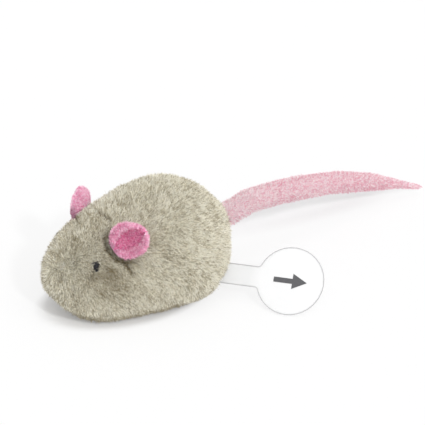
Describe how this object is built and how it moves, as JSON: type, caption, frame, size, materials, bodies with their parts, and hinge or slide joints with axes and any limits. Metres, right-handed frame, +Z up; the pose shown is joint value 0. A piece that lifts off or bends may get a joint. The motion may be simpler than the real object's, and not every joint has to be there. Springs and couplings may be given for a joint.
{
  "type": "electronic mouse cat toy",
  "caption": "Stuffed plush mouse cat toy with cupped ears, stitched eyes, a long tapered tail, a sound module inside and a film pull tab.",
  "frame": {"origin": "middle of the flat patch under the belly that the toy rests on", "axes": "-X towards the nose, +X towards the tail, -Y the mouse's left side, +Z up"},
  "size_m": [0.1927, 0.0804, 0.0498],
  "materials": {
    "body_plush": "short dense plush pile, warm grey beige with fine light and dark flecks",
    "fibre": "loose white polyester fibre",
    "ear_plush": "short plush pile, light pink",
    "ear_lining": "short plush pile, strong pink",
    "black_thread": "embroidery thread, black, slight sheen",
    "tail_plush": "short plush pile, pale pink",
    "frosted_film": "thin frosted film, white, matt, with a fine grey edge line",
    "housing_plastic": "moulded plastic, off-white, matt",
    "steel": "bright steel",
    "nickel_strip": "nickel-plated spring strip",
    "board_laminate": "glass-fibre laminate, green",
    "chip_resin": "drop of cured resin, black, glossy",
    "resistor_coat": "lacquered, tan",
    "capacitor_sleeve": "shrink sleeve, dark blue",
    "brass": "thin rolled sheet",
    "piezo_ceramic": "sintered, silvered",
    "red_insulation": "wire insulation, red",
    "black_insulation": "wire insulation, black"
  },
  "bodies": {
    "mouse_body": {"left_side_panel": "body_plush", "right_side_panel": "body_plush", "belly_panel": "body_plush", "fibre_stuffing": "fibre", "left_eye": "black_thread", "right_eye": "black_thread", "module_base": "housing_plastic", "module_cover": "housing_plastic", "housing_screw_1": "steel", "housing_screw_2": "steel", "housing_screw_3": "steel", "button_cell_1": "steel", "button_cell_2": "steel", "button_cell_3": "steel", "lower_contact": "nickel_strip", "upper_contact": "nickel_strip", "circuit_board": "board_laminate", "sound_chip": "chip_resin", "resistor": "resistor_coat", "capacitor": "capacitor_sleeve", "sounder_plate": "brass", "sounder_ceramic": "piezo_ceramic", "sounder_wire_red": "red_insulation", "sounder_wire_black": "black_insulation", "motion_can": "steel", "motion_plug": "housing_plastic"},
    "left_ear": {"left_ear_back": "ear_plush", "left_ear_lining": "ear_lining"},
    "right_ear": {"right_ear_back": "ear_plush", "right_ear_lining": "ear_lining"},
    "tail": {"tail": "tail_plush"},
    "pull_tab": {"pull_tab": "frosted_film"},
    "motion_ball": {"motion_ball": "steel"}
  },
  "joints": [
    {"name": "left_ear_flop", "type": "hinge", "parent": "mouse_body", "child": "left_ear", "pos_m": [-0.02835, -0.01614, 0.0372], "axis": [0.3829, -0.3818, -0.8412], "range_deg": [-3, 30], "stiffness_Nm_per_rad": 0.002},
    {"name": "right_ear_flop", "type": "hinge", "parent": "mouse_body", "child": "right_ear", "pos_m": [-0.02835, 0.01614, 0.0372], "axis": [-0.0865, -0.1288, 0.9879], "range_deg": [-3, 30], "stiffness_Nm_per_rad": 0.002},
    {"name": "tail_swing", "type": "hinge", "parent": "mouse_body", "child": "tail", "pos_m": [0.03901, 0, 0.029], "axis": [0, 0, 1], "range_deg": [-35, 35], "stiffness_Nm_per_rad": 0.003},
    {"name": "tab_pull", "type": "slide", "parent": "mouse_body", "child": "pull_tab", "axis": [0.7071, -0.7071, 0], "range_m": [0, 0.03]},
    {"name": "ball_travel", "type": "slide", "parent": "mouse_body", "child": "motion_ball", "axis": [0.7071, -0.7071, 0], "range_m": [0, 0.0035]}
  ]
}
